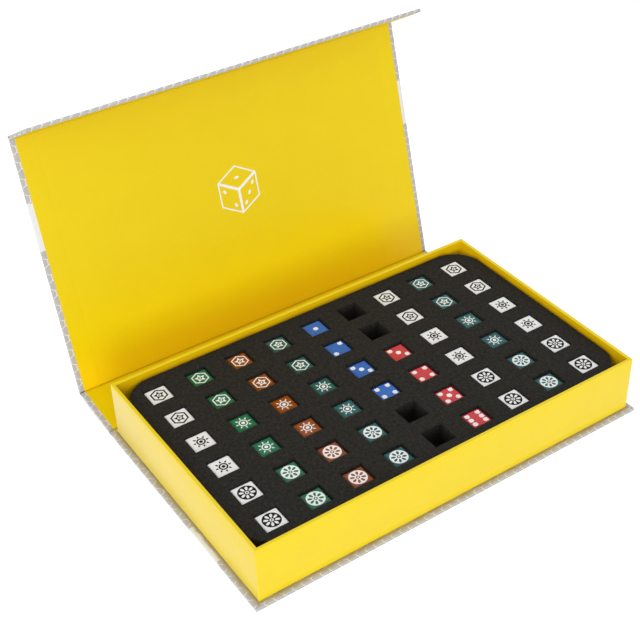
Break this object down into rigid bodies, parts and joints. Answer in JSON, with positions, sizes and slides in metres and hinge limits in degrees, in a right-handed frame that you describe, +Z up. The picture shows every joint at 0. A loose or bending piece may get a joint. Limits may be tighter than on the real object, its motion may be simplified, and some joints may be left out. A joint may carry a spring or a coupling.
{
  "type": "magnetic dice box",
  "caption": "Book-style board box with a folding cover and magnetic flap, a yellow paper-wrapped tray and a foam insert whose square pockets hold printed and pip dice.",
  "frame": {"origin": "on the table under the middle of the tray, at the base's underside", "axes": "+X to the box's right along its length, +Y to its back where the spine is, +Z up"},
  "size_m": [0.288, 0.2697, 0.1969],
  "materials": {
    "greyboard": "matte",
    "printed_wrap": "matte",
    "yellow_paper": "satin",
    "foam": "matte",
    "white_resin": "gloss",
    "green_resin": "gloss",
    "amber_resin": "gloss",
    "teal_resin": "gloss",
    "blue_resin": "gloss",
    "red_resin": "gloss",
    "magnet_metal": "satin",
    "keeper_steel": "satin"
  },
  "bodies": {
    "base": {"base_board": "greyboard", "base_wrap": "printed_wrap", "spine_fold": "printed_wrap", "tray_floor": "greyboard", "tray_front_wall": "greyboard", "tray_back_wall": "greyboard", "tray_left_wall": "greyboard", "tray_right_wall": "greyboard", "tray_wrap": "yellow_paper", "tray_floor_liner": "yellow_paper", "closure_keepers": "keeper_steel"},
    "spine": {"spine_board": "greyboard", "spine_wrap": "printed_wrap", "spine_liner": "yellow_paper", "lid_fold": "printed_wrap"},
    "lid": {"lid_board": "greyboard", "lid_wrap": "printed_wrap", "lid_liner": "yellow_paper", "flap_fold": "printed_wrap"},
    "flap": {"flap_board": "greyboard", "flap_wrap": "printed_wrap", "flap_liner": "yellow_paper", "flap_magnets": "magnet_metal"},
    "foam": {"foam_tray": "foam", "foam_base": "foam"},
    "white_dice_left": {"white_dice_left": "white_resin"},
    "green_dice": {"green_dice": "green_resin"},
    "amber_dice": {"amber_dice": "amber_resin"},
    "teal_dice_middle": {"teal_dice_middle": "teal_resin"},
    "white_dice_middle": {"white_dice_middle": "white_resin"},
    "teal_dice_right": {"teal_dice_right": "teal_resin"},
    "white_dice_right": {"white_dice_right": "white_resin"},
    "blue_die_1": {"blue_die_1": "blue_resin"},
    "blue_die_2": {"blue_die_2": "blue_resin"},
    "blue_die_3": {"blue_die_3": "blue_resin"},
    "blue_die_4": {"blue_die_4": "blue_resin"},
    "red_die_3": {"red_die_3": "red_resin"},
    "red_die_4": {"red_die_4": "red_resin"},
    "red_die_5": {"red_die_5": "red_resin"},
    "red_die_6": {"red_die_6": "red_resin"}
  },
  "joints": [
    {"name": "spine_hinge", "type": "hinge", "parent": "base", "child": "spine", "pos_m": [0, 0.089, 0.0004], "axis": [1, 0, 0], "range_deg": [-4.7, 85.3], "deforming": ["spine_fold"]},
    {"name": "lid_hinge", "type": "hinge", "parent": "spine", "child": "lid", "pos_m": [0, 0.13355, 0.00406], "axis": [1, 0, 0], "range_deg": [-70.3, 19.7], "deforming": ["lid_fold"]},
    {"name": "flap_hinge", "type": "hinge", "parent": "lid", "child": "flap", "pos_m": [0, 0.17962, 0.176], "axis": [1, 0, 0], "range_deg": [-74.6, 15.4], "deforming": ["flap_fold"]},
    {"name": "foam_lift", "type": "slide", "parent": "base", "child": "foam", "axis": [0, 0, -1], "range_m": [-0.05, 0]},
    {"name": "white_dice_left_lift", "type": "slide", "parent": "foam", "child": "white_dice_left", "axis": [0, 0, -1], "range_m": [-0.02, 0]},
    {"name": "green_dice_lift", "type": "slide", "parent": "foam", "child": "green_dice", "axis": [0, 0, -1], "range_m": [-0.02, 0]},
    {"name": "amber_dice_lift", "type": "slide", "parent": "foam", "child": "amber_dice", "axis": [0, 0, -1], "range_m": [-0.02, 0]},
    {"name": "teal_dice_middle_lift", "type": "slide", "parent": "foam", "child": "teal_dice_middle", "axis": [0, 0, -1], "range_m": [-0.02, 0]},
    {"name": "white_dice_middle_lift", "type": "slide", "parent": "foam", "child": "white_dice_middle", "axis": [0, 0, -1], "range_m": [-0.02, 0]},
    {"name": "teal_dice_right_lift", "type": "slide", "parent": "foam", "child": "teal_dice_right", "axis": [0, 0, -1], "range_m": [-0.02, 0]},
    {"name": "white_dice_right_lift", "type": "slide", "parent": "foam", "child": "white_dice_right", "axis": [0, 0, -1], "range_m": [-0.02, 0]},
    {"name": "blue_die_1_lift", "type": "slide", "parent": "foam", "child": "blue_die_1", "axis": [0, 0, -1], "range_m": [-0.02, 0]},
    {"name": "blue_die_2_lift", "type": "slide", "parent": "foam", "child": "blue_die_2", "axis": [0, 0, -1], "range_m": [-0.02, 0]},
    {"name": "blue_die_3_lift", "type": "slide", "parent": "foam", "child": "blue_die_3", "axis": [0, 0, -1], "range_m": [-0.02, 0]},
    {"name": "blue_die_4_lift", "type": "slide", "parent": "foam", "child": "blue_die_4", "axis": [0, 0, -1], "range_m": [-0.02, 0]},
    {"name": "red_die_3_lift", "type": "slide", "parent": "foam", "child": "red_die_3", "axis": [0, 0, -1], "range_m": [-0.02, 0]},
    {"name": "red_die_4_lift", "type": "slide", "parent": "foam", "child": "red_die_4", "axis": [0, 0, -1], "range_m": [-0.02, 0]},
    {"name": "red_die_5_lift", "type": "slide", "parent": "foam", "child": "red_die_5", "axis": [0, 0, -1], "range_m": [-0.02, 0]},
    {"name": "red_die_6_lift", "type": "slide", "parent": "foam", "child": "red_die_6", "axis": [0, 0, -1], "range_m": [-0.02, 0]}
  ]
}
